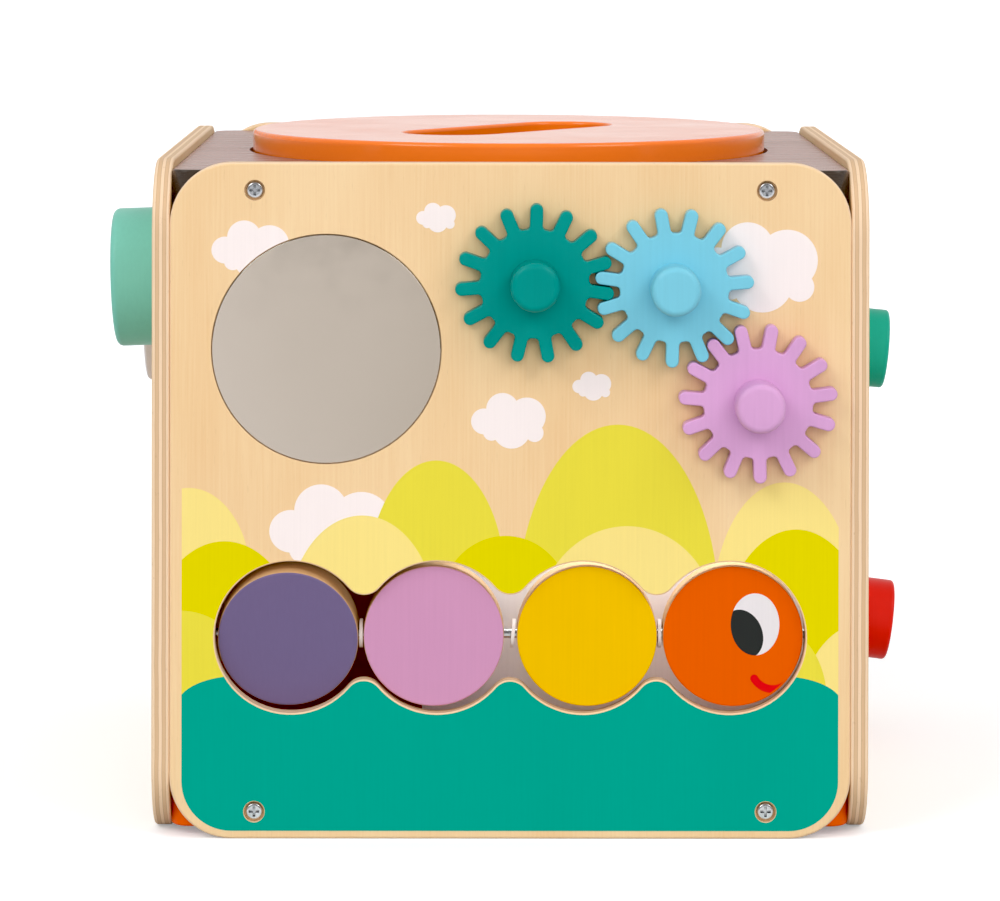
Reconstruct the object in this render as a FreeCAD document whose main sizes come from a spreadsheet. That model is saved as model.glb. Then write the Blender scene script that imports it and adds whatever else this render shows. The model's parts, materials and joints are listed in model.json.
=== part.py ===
import FreeCAD, Part
import math
import os
import Sketcher

# Wooden baby activity cube. Millimetres. Origin on the floor under the middle of the cube,
# +Z up, the face with the disc worm towards -Y, two drums on -X and two sliders on +X.

DIMS = {
    # box
    "cube_w": 300.0,
    "cube_d": 300.0,
    "panel_h": 283.0,
    "panel_t": 7.5,
    "corner_r": 26.0,
    "side_corner_r": 30.0,
    "panel_ease": 1.2,
    "board_t": 16.0,
    "board_mid": 8.0,
    "board_r": 8.0,
    "board_sink": 3.6,
    "board_lift": 3.4,
    "board_ease": 1.0,
    # screws through the panels into the boards
    "screw_x": 107.0,
    "screw_low": 11.4,
    "screw_high": 271.4,
    "screw_hole_r": 2.0,
    "screw_sink_r": 4.35,
    "screw_sink": 2.7,
    "screw_head_r": 3.65,
    "screw_head_t": 2.2,
    "screw_round": 1.3,
    "screw_shank_r": 1.75,
    "screw_len": 26.0,
    "cross_long": 4.4,
    "cross_wide": 1.1,
    "cross_deep": 1.3,
    "pilot_r": 1.8,
    "pilot_len": 24.0,
    "keeper_screw_len": 10.0,
    "keeper_pilot": 11.0,
    # mirror
    "mirror_x": 77.0,
    "mirror_z": 205.1,
    "mirror_r": 47.8,
    "mirror_t": 2.0,
    "mirror_gap": 0.4,
    "mirror_sunk": 0.1,
    "mirror_ease": 0.3,
    # gears
    "teal_x": 9.9,
    "teal_z": 233.2,
    "blue_x": 68.0,
    "blue_z": 231.6,
    "lilac_x": 103.0,
    "lilac_z": 183.4,
    "gear_root_r": 22.75,
    "tooth_w": 5.4,
    "tooth_mid_r": 30.5,
    "root_fillet": 1.8,
    "gear_t": 8.0,
    "gear_ease": 0.7,
    "gear_bore_r": 4.05,
    "peg_r": 10.3,
    "peg_len": 17.5,
    "peg_round": 2.6,
    "axle_r": 4.0,
    "axle_bore_r": 4.05,
    "axle_play": 0.5,
    "spacer_r": 7.5,
    "spacer_t": 1.0,
    "spacer_bore_r": 4.2,
    "face_gap": 0.1,
    "keeper_r": 8.0,
    "keeper_t": 1.5,
    "keeper_bore_r": 1.85,
    # worm of four discs on a rod
    "rod_z": 84.4,
    "rod_r": 2.0,
    "rod_len": 270.0,
    "rod_ease": 0.4,
    "rod_bore_r": 2.05,
    "lobe_r": 31.8,
    "lobe_near": 30.5,
    "lobe_far": 91.8,
    "cusp_r": 8.5,
    "window_ease": 0.6,
    "disc_r": 29.4,
    "disc_t": 15.0,
    "disc_half": 7.5,
    "disc_ease": 0.8,
    "disc_sink": 3.0,
    "bead_r": 6.0,
    "bead_t": 1.4,
    "bead_bore_r": 2.3,
    "block_w": 12.0,
    "block_h": 20.0,
    "block_mid": 10.0,
    "block_d": 13.0,
    "block_r": 1.5,
    "block_x": 130.2,
    # panel inside, behind the worm
    "inner_w": 180.0,
    "inner_h": 244.0,
    "inner_t": 5.0,
    "inner_r": 2.0,
    "inner_out": 106.0,
    "cleat_w": 14.0,
    "cleat_h": 220.0,
    # lid and the ring it turns on
    "lid_r": 116.0,
    "lid_t": 15.0,
    "lid_round": 2.0,
    "lid_under_ease": 1.5,
    "lid_seat_r": 117.6,
    "lid_seat_depth": 7.0,
    "lid_hole_r": 102.5,
    "slot_half": 40.0,
    "slot_r": 22.5,
    "slot_ease": 1.5,
    "ring_out_r": 116.8,
    "ring_in_r": 103.5,
    "ring_t": 1.5,
    # drums
    "mint_up": 221.8,
    "mint_along": 0.0,
    "mint_r": 31.2,
    "mint_len": 26.3,
    "mint_round": 3.0,
    "white_up": 204.2,
    "white_along": -70.0,
    "white_r": 38.0,
    "white_len": 17.0,
    "white_round": 1.5,
    "drum_gap": 2.1,
    "drum_bore_r": 4.4,
    "drum_spacer_t": 1.3,
    "drum_spacer_gap": 0.3,
    "knob_base_ease": 1.0,
    # sliders
    "green_up": 182.4,
    "green_along": 84.0,
    "red_up": 58.3,
    "red_along": 62.0,
    "slider_r": 18.5,
    "slider_len": 27.3,
    "slider_round": 1.6,
    "slider_gap": 2.8,
    "slider_stem_r": 5.0,
    "slider_stem_len": 11.7,
    "slider_slot_r": 5.8,
    "slider_slot_half": 88.6,
    "slider_keeper_r": 11.0,
    "slider_keeper_gap": 2.0,
    # sun spinner on the back
    "sun_z": 176.0,
    "sun_r": 30.0,
    "sun_t": 8.0,
    "ray_r": 8.4,
    "ray_at": 32.0,
}

GEARS = {"teal": 88.44, "blue": 4.4, "lilac": 7.6}  # degrees from +X to the middle of a tooth
SEGMENTS = {"purple": (-93.0, 10.7), "pink": (-32.0, 0.0), "yellow": (32.2, 0.0), "head": (93.3, 0.0)}
BEADS = [(-62.5, 0.0), (1.2, 5.0), (62.75, 0.0)]  # place along the rod, lean in degrees
TEETH = 15
RAYS = 10
LID_SLOT_DEG = 51.5
DRUM_SAG = {"mint": 2.0, "white": 0.0}  # how far the outer end leans down, in degrees
SLIDER_SAG = {"green": 5.5, "red": 7.5}
FRONT, RIGHT, BACK, LEFT = 0.0, 90.0, 180.0, -90.0

V = FreeCAD.Vector
Z_AXIS = V(0, 0, 1)
NODES = []

doc = FreeCAD.newDocument("activity_cube")
sheet = doc.addObject("Spreadsheet::Sheet", "Dims")
for row, (alias, size) in enumerate(DIMS.items(), start=1):
    sheet.set(f"A{row}", alias)
    sheet.set(f"B{row}", str(size))
    sheet.setAlias(f"B{row}", alias)
doc.recompute()


# ---- sizes and places ----


def bound(formula):
    """A formula over the sheet's names, written the way an expression needs it."""
    return " ".join(f"Dims.{word}" if word in DIMS else word for word in formula.split())


def worth(formula):
    """The value of a sum of sheet names and plain numbers, such as 'panel_t - mirror_t'."""
    total = 0.0
    sign = 1.0
    for word in formula.split():
        if word in ("+", "-"):
            sign = 1.0 if word == "+" else -1.0
            continue
        total += sign * (DIMS[word] if word in DIMS else float(word))
    return total


def on_face(side, across, up, out, tip=0.0):
    """A place on one side of the cube, with +Z pointing outwards and +Y up.

    across runs to the right of someone looking at that side, out is the distance from the
    cube's middle, and tip leans the outer end down."""
    turn = FreeCAD.Rotation(Z_AXIS, side)
    lay = FreeCAD.Rotation(V(1, 0, 0), 90.0 + tip)
    return FreeCAD.Placement(turn.multVec(V(across, -out, up)), turn.multiply(lay))


def along(spot, distance, flip=False, up=0.0):
    """A place further out from a spot, with its +Z turned back towards the cube if flip."""
    turn = FreeCAD.Rotation(V(1, 0, 0), 180.0 if flip else 0.0)
    return spot.multiply(FreeCAD.Placement(V(0, up, distance), turn))


def level(height, turn=0.0):
    return FreeCAD.Placement(V(0, 0, height), FreeCAD.Rotation(Z_AXIS, turn))


def rod_place(x, lean=0.0):
    """A place on the worm's rod, with +Z along the rod."""
    lay = FreeCAD.Rotation(V(0, 1, 0), 90.0 + lean)
    return FreeCAD.Placement(V(x, ROD_Y, DIMS["rod_z"]), lay)


HALF_D = DIMS["cube_d"] / 2.0
HALF_W = DIMS["cube_w"] / 2.0
INSIDE_D = HALF_D - DIMS["panel_t"]
INSIDE_W = HALF_W - DIMS["panel_t"]
TOP_BOARD_Z = worth("panel_h - board_sink - board_t")
ROD_Y = -HALF_D + worth("disc_sink + disc_half")
SIDES = {
    "front": (FRONT, HALF_D),
    "right": (RIGHT, HALF_W),
    "back": (BACK, HALF_D),
    "left": (LEFT, HALF_W),
}


# ---- pieces ----


class Piece:
    """A PartDesign body whose sketches sit on its own origin planes."""

    def __init__(self, label, placement=None, is_node=True):
        self.body = doc.addObject("PartDesign::Body", label)
        self.body.Label = label
        if is_node:
            NODES.append(self.body)
        if placement is not None:
            self.body.Placement = placement

    def origin(self, role):
        return [part for part in self.body.Origin.OriginFeatures if part.Role == role][0]

    def sketch(self, lift="0", role="XY_Plane"):
        made = self.body.newObject("Sketcher::SketchObject", "Sketch")
        made.AttachmentSupport = (self.origin(role), [""])
        made.MapMode = "FlatFace"
        made.setExpression(".AttachmentOffset.Base.z", bound(lift))
        return made

    def feature(self, kind, profile, length, back):
        if profile.solve() != 0:
            raise ValueError(f"{self.body.Label}: {profile.Name} has a constraint that cannot hold")
        made = self.body.newObject(f"PartDesign::{kind}", kind)
        made.Profile = profile
        made.Reversed = back
        if length is None:
            made.Type = 1
        else:
            made.setExpression("Length", bound(length))
        profile.Visibility = False
        doc.recompute()
        return made

    def pad(self, profile, length, down=False):
        return self.feature("Pad", profile, length, down)

    def pocket(self, profile, depth=None, up=False):
        """Cuts down from the sketch, or up; right through when no depth is given."""
        before = self.body.Shape.Volume
        made = self.feature("Pocket", profile, depth, up)
        if not self.body.Shape.Volume < before - 1e-6:
            raise ValueError(f"{self.body.Label}: {made.Name} removes nothing")
        return made

    def round_edges(self, radius, chosen):
        """Fillets the edges for which chosen(edge) is true."""
        base = self.body.Tip
        edges = enumerate(base.Shape.Edges, start=1)
        names = [f"Edge{index}" for index, edge in edges if chosen(edge)]
        made = self.body.newObject("PartDesign::Fillet", "Fillet")
        made.Base = (base, names)
        made.setExpression("Radius", bound(radius))
        doc.recompute()
        return made

    def repeat_round(self, feature, count):
        """Repeats a feature round the body's own Z axis."""
        made = self.body.newObject("PartDesign::PolarPattern", "PolarPattern")
        made.Originals = [feature]
        made.Axis = (self.origin("Z_Axis"), [""])
        made.Angle = 360.0
        made.Occurrences = count
        self.body.Tip = made
        doc.recompute()
        return made

    def disc(self, radius, length, lift="0", bore=None, down=False):
        made = self.sketch(lift)
        circle(made, radius)
        if bore is not None:
            circle(made, bore)
        return self.pad(made, length, down)

    def hole(self, radius, depth=None, lift="0", across="0", up="0", upward=False):
        made = self.sketch(lift)
        circle(made, radius, across, up)
        return self.pocket(made, depth, upward)


def flat_at(*heights):
    """Chooses the edges that lie wholly at one of some heights."""

    def chosen(edge):
        box = edge.BoundBox
        return any(abs(box.ZMin - z) < 1e-3 and abs(box.ZMax - z) < 1e-3 for z in heights)

    return chosen


def arcs_of(radii, *heights):
    """Chooses circular edges of some radii at some heights."""
    at_height = flat_at(*heights)

    def chosen(edge):
        radius = getattr(edge.Curve, "Radius", None)
        if radius is None or not at_height(edge):
            return False
        return any(abs(radius - wanted) < 1e-3 for wanted in radii)

    return chosen


def node_group(label, master, places):
    """One node made of a master piece set in several places."""
    links = []
    for index, place in enumerate(places, start=1):
        link = doc.addObject("App::Link", f"{label}_{index}")
        link.LinkedObject = master.body
        link.LinkPlacement = place
        links.append(link)
    made = doc.addObject("Part::Compound", label)
    made.Label = label
    made.Links = links
    NODES.append(made)
    return made


# ---- sketch outlines ----


def tie(sketch, kind, *args, formula=None):
    """Adds a constraint, driven by a formula over the sheet when one is given."""
    index = sketch.addConstraint(Sketcher.Constraint(kind, *args))
    if formula is not None:
        sketch.setExpression(f"Constraints[{index}]", bound(formula))
    return index


def signed(formula):
    """Splits a formula such as '-screw_x' into its sign and the rest."""
    if formula.startswith("-"):
        return -1.0, formula[1:]
    return 1.0, formula


def hold(sketch, index, point, across, up):
    """Ties one point of a shape to distances from the sketch's origin."""
    for kind, formula in (("DistanceX", across), ("DistanceY", up)):
        sign, name = signed(formula)
        if name == "0":
            axis = -2 if kind == "DistanceX" else -1
            tie(sketch, "PointOnObject", index, point, axis)
            continue
        ends = (-1, 1, index, point) if sign > 0 else (index, point, -1, 1)
        tie(sketch, kind, *ends, worth(name), formula=name)


def place_of(across, up):
    spots = []
    for formula in (across, up):
        sign, name = signed(formula)
        spots.append(sign * worth(name))
    return V(spots[0], spots[1], 0)


def circle(sketch, radius, across="0", up="0"):
    index = sketch.addGeometry(Part.Circle(place_of(across, up), Z_AXIS, worth(radius)))
    tie(sketch, "Radius", index, worth(radius), formula=radius)
    hold(sketch, index, 3, across, up)
    return index


def arc(sketch, centre, radius, start_deg, end_deg):
    whole = Part.Circle(centre, Z_AXIS, radius)
    start = math.radians(start_deg)
    end = math.radians(end_deg)
    return sketch.addGeometry(Part.ArcOfCircle(whole, start, end))


def join_loop(sketch, count):
    """Joins a run of lines and arcs end to start, smoothly, into a closed loop."""
    for index in range(count):
        tie(sketch, "Tangent", index, 2, (index + 1) % count, 1)


def rounded_rectangle(sketch, width, height, radius, stands=True):
    """A rectangle with round corners that stands on the sketch's X axis, or is centred."""
    a = worth(width) / 2.0
    b = worth(height) / 2.0
    r = worth(radius)
    lift = V(0, b if stands else 0.0, 0)
    corners = [V(a - r, -b + r, 0), V(a - r, b - r, 0), V(-a + r, b - r, 0), V(-a + r, -b + r, 0)]
    sides = [V(0, -r, 0), V(r, 0, 0), V(0, r, 0), V(-r, 0, 0)]
    for index in range(4):
        before = corners[index - 1] + sides[index] + lift
        after = corners[index] + sides[index] + lift
        sketch.addGeometry(Part.LineSegment(before, after))
        arc(sketch, corners[index] + lift, r, 90.0 * index - 90.0, 90.0 * index)
    join_loop(sketch, 8)
    tie(sketch, "Vertical", 2)
    tie(sketch, "Horizontal", 4)
    tie(sketch, "Vertical", 6)
    for corner in (3, 5, 7):
        tie(sketch, "Equal", 1, corner)
    tie(sketch, "Radius", 1, r, formula=radius)
    tie(sketch, "DistanceX", 6, 1, 2, 1, 2.0 * a, formula=width)
    tie(sketch, "DistanceY", 0, 1, 4, 1, 2.0 * b, formula=height)
    if stands:
        tie(sketch, "PointOnObject", 0, 1, -1)
        tie(sketch, "Symmetric", 0, 1, 0, 2, -2)
    else:
        tie(sketch, "Horizontal", 0)
        tie(sketch, "Symmetric", 1, 3, 5, 3, -1, 1)


def slot_outline(sketch, half, radius, up="0"):
    """A level slot with round ends, whose end centres are half to either side."""
    reach = worth(half)
    r = worth(radius)
    middle = V(0, worth(up), 0)
    right = middle + V(reach, 0, 0)
    left = middle - V(reach, 0, 0)
    sketch.addGeometry(Part.LineSegment(left - V(0, r, 0), right - V(0, r, 0)))
    arc(sketch, right, r, -90.0, 90.0)
    sketch.addGeometry(Part.LineSegment(right + V(0, r, 0), left + V(0, r, 0)))
    arc(sketch, left, r, 90.0, 270.0)
    join_loop(sketch, 4)
    tie(sketch, "Radius", 1, r, formula=radius)
    tie(sketch, "Equal", 1, 3)
    hold(sketch, 1, 3, half, up)
    hold(sketch, 3, 3, f"-{half}", up)


def lobed_window(sketch, up):
    """Four round lobes in a row, with the points between neighbours rounded off."""
    names = ["-lobe_far", "-lobe_near", "lobe_near", "lobe_far"]
    centres = [place_of(name, up) for name in names]
    reach = DIMS["lobe_r"] + DIMS["cusp_r"]
    lean = []
    cusps = []
    for left, right in zip(centres, centres[1:]):
        half = (right.x - left.x) / 2.0
        lean.append(math.degrees(math.acos(half / reach)))
        cusps.append(V(left.x + half, 0, 0))
    drop = [reach * math.sin(math.radians(angle)) for angle in lean]

    def lobe(index, start_deg, end_deg):
        made = arc(sketch, centres[index], DIMS["lobe_r"], start_deg, end_deg)
        if made == 0:
            tie(sketch, "Radius", made, DIMS["lobe_r"], formula="lobe_r")
        else:
            tie(sketch, "Equal", 0, made)
        hold(sketch, made, 3, names[index], up)

    def cusp(index, above):
        spot = V(cusps[index].x, centres[0].y + (drop[index] if above else -drop[index]), 0)
        middle = 270.0 if above else 90.0
        half = 90.0 - lean[index]
        made = arc(sketch, spot, DIMS["cusp_r"], middle - half, middle + half)
        if made == 1:
            tie(sketch, "Radius", made, DIMS["cusp_r"], formula="cusp_r")
        else:
            tie(sketch, "Equal", 1, made)

    lobe(0, lean[0], 360.0 - lean[0])
    cusp(0, False)
    lobe(1, 180.0 + lean[0], 360.0 - lean[1])
    cusp(1, False)
    lobe(2, 180.0 + lean[1], 360.0 - lean[2])
    cusp(2, False)
    lobe(3, -180.0 + lean[2], 180.0 - lean[2])
    cusp(2, True)
    lobe(2, lean[2], 180.0 - lean[1])
    cusp(1, True)
    lobe(1, lean[1], 180.0 - lean[0])
    cusp(0, True)
    for index in range(0, 12, 2):
        tie(sketch, "Tangent", index, 2, index + 1, 2)
        tie(sketch, "Tangent", index + 1, 1, (index + 2) % 12, 1)


def cross_outline(sketch):
    """The plus sign of a cross recess."""
    a = DIMS["cross_long"] / 2.0
    b = DIMS["cross_wide"] / 2.0
    quarter = [(a, -b), (a, b), (b, b)]
    points = []
    for turn in range(4):
        spin = FreeCAD.Rotation(Z_AXIS, 90.0 * turn)
        points.extend(spin.multVec(V(x, y, 0)) for x, y in quarter)
    for index, point in enumerate(points):
        sketch.addGeometry(Part.LineSegment(point, points[(index + 1) % 12]))
    for index in range(12):
        tie(sketch, "Coincident", index, 2, (index + 1) % 12, 1)
        tie(sketch, "Vertical" if index % 2 == 0 else "Horizontal", index)
    for index in (3, 6, 9):
        tie(sketch, "Equal", 0, index)
    tie(sketch, "Distance", 0, 2.0 * b, formula="cross_wide")
    tie(sketch, "DistanceX", 6, 1, 0, 1, 2.0 * a, formula="cross_long")
    tie(sketch, "DistanceY", 9, 1, 3, 1, 2.0 * a, formula="cross_long")
    tie(sketch, "Symmetric", 0, 1, 6, 1, -1, 1)


# ---- fixings ----


def screw(piece, head_r, head_t, shank_r, length):
    """A round-headed cross-recess screw: head above its own Z = 0, shank below."""
    piece.disc(head_r, head_t)
    piece.round_edges("screw_round", arcs_of([worth(head_r)], worth(head_t)))
    piece.disc(shank_r, length, down=True)
    recess = piece.sketch(head_t)
    cross_outline(recess)
    piece.pocket(recess, "cross_deep")
    return piece


def washer(label, placement, outer, inner, thickness, is_node=True):
    made = Piece(label, placement, is_node)
    made.disc(outer, thickness, bore=inner)
    return made


def keep_from_inside(name, spot, gap, outer="keeper_r"):
    """The washer and screw that hold an axle from inside the cube."""
    back = -worth(f"panel_t + {gap}")
    washer(f"{name}_keeper", along(spot, back - DIMS["keeper_t"]), outer, "keeper_bore_r", "keeper_t")
    fixing = Piece(f"{name}_keeper_screw", along(spot, back - DIMS["keeper_t"], flip=True))
    screw(fixing, "screw_head_r", "screw_head_t", "screw_shank_r", "keeper_screw_len")


# ---- the box ----


def panel(label, side, out, width, corner):
    """A plywood side with four sunk screw holes; its own +Z is the outer face."""
    made = Piece(label, on_face(side, 0.0, 0.0, out))
    outline = made.sketch()
    rounded_rectangle(outline, width, "panel_h", corner)
    made.pad(outline, "panel_t")
    made.round_edges("panel_ease", flat_at(0.0, DIMS["panel_t"]))
    for radius, depth in (("screw_hole_r", None), ("screw_sink_r", "screw_sink")):
        holes = made.sketch("panel_t")
        for across in ("screw_x", "-screw_x"):
            for up in ("screw_low", "screw_high"):
                circle(holes, radius, across, up)
        made.pocket(holes, depth)
    return made


def front_panel():
    made = panel("front_panel", FRONT, INSIDE_D, "cube_w - panel_t - panel_t", "corner_r")
    made.hole("mirror_r + mirror_gap", "mirror_t + mirror_sunk", "panel_t", "-mirror_x", "mirror_z")
    bores = made.sketch("panel_t")
    for name in GEARS:
        circle(bores, "axle_bore_r", f"{name}_x", f"{name}_z")
    made.pocket(bores)
    window = made.sketch("panel_t")
    lobed_window(window, "rod_z")
    made.pocket(window)
    radii = [DIMS["lobe_r"], DIMS["cusp_r"]]
    made.round_edges("window_ease", arcs_of(radii, 0.0, DIMS["panel_t"]))


def right_panel():
    made = panel("right_panel", RIGHT, INSIDE_W, "cube_d", "side_corner_r")
    for up in ("green_up", "red_up"):
        opening = made.sketch("panel_t")
        slot_outline(opening, "slider_slot_half", "slider_slot_r", up)
        made.pocket(opening)


def left_panel():
    made = panel("left_panel", LEFT, INSIDE_W, "cube_d", "side_corner_r")
    made.hole("drum_bore_r", None, "panel_t", up="mint_up")
    made.hole("drum_bore_r", None, "panel_t", "white_along", "white_up")


def back_panel():
    made = panel("back_panel", BACK, INSIDE_D, "cube_w - panel_t - panel_t", "corner_r")
    made.hole("axle_bore_r", None, "panel_t", up="sun_z")


def drill_board(made):
    """Pilot holes for the side screws, in from all four edges."""
    edges = [
        ("XZ_Plane", "cube_d / 2 - panel_t", False),
        ("XZ_Plane", "panel_t - cube_d / 2", True),
        ("YZ_Plane", "cube_w / 2 - panel_t", False),
        ("YZ_Plane", "panel_t - cube_w / 2", True),
    ]
    for role, lift, back in edges:
        holes = made.sketch(lift, role)
        for across in ("screw_x", "-screw_x"):
            circle(holes, "pilot_r", across, "board_mid")
        made.pocket(holes, "pilot_len", back)


def board(label, height):
    made = Piece(label, level(height))
    outline = made.sketch()
    width = "cube_w - panel_t - panel_t"
    depth = "cube_d - panel_t - panel_t"
    rounded_rectangle(outline, width, depth, "board_r", stands=False)
    made.pad(outline, "board_t")
    made.round_edges("board_ease", flat_at(0.0, DIMS["board_t"]))
    drill_board(made)
    return made


def top_board():
    made = board("top_board", TOP_BOARD_Z)
    made.hole("lid_seat_r", "lid_seat_depth", "board_t")
    made.hole("lid_hole_r", None, "board_t")


def block(label, placement, width, height, thickness, radius="block_r"):
    made = Piece(label, placement)
    outline = made.sketch()
    rounded_rectangle(outline, width, height, radius)
    made.pad(outline, thickness)
    return made


def inner_panel():
    """The white panel inside that screens the worm from what is posted in."""
    across = INSIDE_W - DIMS["inner_w"] / 2.0
    low = TOP_BOARD_Z - DIMS["inner_h"]
    back = worth("inner_out - inner_t")
    spot = on_face(FRONT, across, low, back)
    block("inner_panel", spot, "inner_w", "inner_h", "inner_t", "inner_r")
    across = INSIDE_W - DIMS["cleat_w"] / 2.0
    spot = on_face(FRONT, across, low, DIMS["inner_out"])
    block("inner_cleat", spot, "cleat_w", "cleat_h", "cleat_w")


def panel_screws():
    """Four screws in each side, from one master screw."""
    master = Piece("screw_master", None, is_node=False)
    screw(master, "screw_head_r", "screw_head_t", "screw_shank_r", "screw_len")
    for name, (side, out) in SIDES.items():
        places = []
        for across in (-DIMS["screw_x"], DIMS["screw_x"]):
            for up in (DIMS["screw_low"], DIMS["screw_high"]):
                places.append(on_face(side, across, up, out - DIMS["screw_sink"]))
        node_group(f"{name}_screws", master, places)


# ---- front: mirror, gears, worm ----


def mirror():
    out = HALF_D - worth("mirror_t + mirror_sunk")
    made = Piece("mirror", on_face(FRONT, -DIMS["mirror_x"], DIMS["mirror_z"], out))
    made.disc("mirror_r", "mirror_t")
    made.round_edges("mirror_ease", flat_at(DIMS["mirror_t"]))


def peg(name, spot):
    """A round finger peg with its axle turned on the back of it."""
    made = Piece(f"{name}_peg", along(spot, worth("spacer_t + face_gap + gear_t")))
    made.disc("peg_r", "peg_len")
    made.round_edges("peg_round", flat_at(DIMS["peg_len"]))
    made.disc("axle_r", "gear_t + face_gap + spacer_t + panel_t + axle_play", down=True)
    axle_end = "0 - gear_t - face_gap - spacer_t - panel_t - axle_play"
    made.hole("pilot_r", "keeper_pilot", axle_end, upward=True)


def gear(name, spot, tooth_deg):
    """A plate with round-ended fingers for teeth, and its peg, keeper and screw."""
    turned = spot.multiply(level(worth("spacer_t + face_gap"), tooth_deg))
    made = Piece(f"{name}_gear", turned)
    made.disc("gear_root_r", "gear_t")
    tooth = made.sketch()
    finger_outline(tooth)
    made.repeat_round(made.pad(tooth, "gear_t"), TEETH)
    made.round_edges("root_fillet", between_teeth)
    made.round_edges("gear_ease", flat_at(0.0, DIMS["gear_t"]))
    made.hole("gear_bore_r", None, "gear_t")
    peg(name, spot)
    keep_from_inside(name, spot, "axle_play")


def finger_outline(sketch):
    """One tooth along +X: square inside the gear, a full round at the tip."""
    r = DIMS["tooth_w"] / 2.0
    reach = DIMS["tooth_mid_r"]
    inner = DIMS["gear_root_r"] / 2.0
    sketch.addGeometry(Part.LineSegment(V(inner, -r, 0), V(reach, -r, 0)))
    arc(sketch, V(reach, 0, 0), r, -90.0, 90.0)
    sketch.addGeometry(Part.LineSegment(V(reach, r, 0), V(inner, r, 0)))
    sketch.addGeometry(Part.LineSegment(V(inner, r, 0), V(inner, -r, 0)))
    tie(sketch, "Tangent", 0, 2, 1, 1)
    tie(sketch, "Tangent", 1, 2, 2, 1)
    tie(sketch, "Coincident", 2, 2, 3, 1)
    tie(sketch, "Coincident", 3, 2, 0, 1)
    tie(sketch, "Vertical", 3)
    tie(sketch, "Horizontal", 0)
    tie(sketch, "Horizontal", 2)
    tie(sketch, "DistanceY", 3, 2, 3, 1, 2.0 * r, formula="tooth_w")
    tie(sketch, "DistanceX", -1, 1, 3, 1, inner, formula="gear_root_r / 2")
    hold(sketch, 1, 3, "tooth_mid_r", "0")


def between_teeth(edge):
    """Chooses the upright edges where a tooth meets the rim of the gear."""
    box = edge.BoundBox
    if box.ZLength < DIMS["gear_t"] - 1e-3:
        return False
    at = edge.Vertexes[0].Point
    return abs(math.hypot(at.x, at.y) - DIMS["gear_root_r"]) < 0.2


def gears():
    spacer = washer("spacer_master", None, "spacer_r", "spacer_bore_r", "spacer_t", is_node=False)
    spots = {}
    for name in GEARS:
        spots[name] = on_face(FRONT, DIMS[f"{name}_x"], DIMS[f"{name}_z"], HALF_D)
    node_group("gear_spacers", spacer, list(spots.values()))
    for name, tooth_deg in GEARS.items():
        gear(name, spots[name], tooth_deg)


def segment(name, x, tip):
    """A disc of the worm on the rod, bored across its middle."""
    made = Piece(f"{name}_segment", on_face(FRONT, x, DIMS["rod_z"], -ROD_Y, tip))
    made.disc("disc_r", "disc_t", "0 - disc_half")
    made.round_edges("disc_ease", flat_at(-DIMS["disc_half"], DIMS["disc_half"]))
    bore = made.sketch("disc_r + 1", "YZ_Plane")
    circle(bore, "rod_bore_r")
    made.pocket(bore)


def worm():
    for name, (x, tip) in SEGMENTS.items():
        segment(name, x, tip)
    rod = Piece("disc_rod", rod_place(-DIMS["rod_len"] / 2.0))
    rod.disc("rod_r", "rod_len")
    rod.round_edges("rod_ease", flat_at(0.0, DIMS["rod_len"]))
    bead = washer("bead_master", None, "bead_r", "bead_bore_r", "bead_t", is_node=False)
    places = []
    for x, lean in BEADS:
        middle = FreeCAD.Placement(V(0, 0, -DIMS["bead_t"] / 2.0), FreeCAD.Rotation())
        places.append(rod_place(x, lean).multiply(middle))
    node_group("rod_washers", bead, places)
    for name, x in (("left", -DIMS["block_x"]), ("right", DIMS["block_x"])):
        rod_block(f"{name}_rod_block", x)


def rod_block(label, x):
    """A small block behind the front panel that holds one end of the rod."""
    spot = on_face(FRONT, x, DIMS["rod_z"] - DIMS["block_mid"], INSIDE_D - DIMS["block_d"])
    made = block(label, spot, "block_w", "block_h", "block_d")
    bore = made.sketch("block_w", "YZ_Plane")
    circle(bore, "rod_bore_r", "block_mid", "block_d + panel_t - disc_sink - disc_half")
    made.pocket(bore)


# ---- top: lid ----


def lid():
    seat = TOP_BOARD_Z + worth("board_t - lid_seat_depth")
    washer("lid_ring", level(seat), "ring_out_r", "ring_in_r", "ring_t")
    made = Piece("lid", level(seat + DIMS["ring_t"], LID_SLOT_DEG))
    made.disc("lid_r", "lid_t")
    made.round_edges("lid_round", flat_at(DIMS["lid_t"]))
    made.round_edges("lid_under_ease", flat_at(0.0))
    opening = made.sketch("lid_t")
    slot_outline(opening, "slot_half", "slot_r")
    made.pocket(opening)
    made.round_edges("slot_ease", inside_slot)


def inside_slot(edge):
    """Chooses the posting slot's own rims on the lid's two faces."""
    box = edge.BoundBox
    within = max(abs(box.XMin), abs(box.XMax)) < worth("slot_half + slot_r") + 0.01
    return within and flat_at(0.0, DIMS["lid_t"])(edge)


# ---- left side: two drums ----


def drum(name):
    """A thick round drum that turns on an axle through the left side."""
    spot = on_face(LEFT, DIMS[f"{name}_along"], DIMS[f"{name}_up"], HALF_W, DRUM_SAG[name])
    base = along(spot, DIMS["drum_spacer_gap"])
    washer(f"{name}_spacer", base, "spacer_r", "spacer_bore_r", "drum_spacer_t")
    made = Piece(f"{name}_drum", along(spot, DIMS["drum_gap"]))
    made.disc(f"{name}_r", f"{name}_len")
    made.round_edges(f"{name}_round", flat_at(DIMS[f"{name}_len"]))
    made.round_edges("knob_base_ease", flat_at(0.0))
    made.disc("axle_r", "drum_gap + panel_t + axle_play", down=True)
    made.hole("pilot_r", "keeper_pilot", "0 - drum_gap - panel_t - axle_play", upward=True)
    keep_from_inside(name, spot, "axle_play")


# ---- right side: two sliders ----


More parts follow.
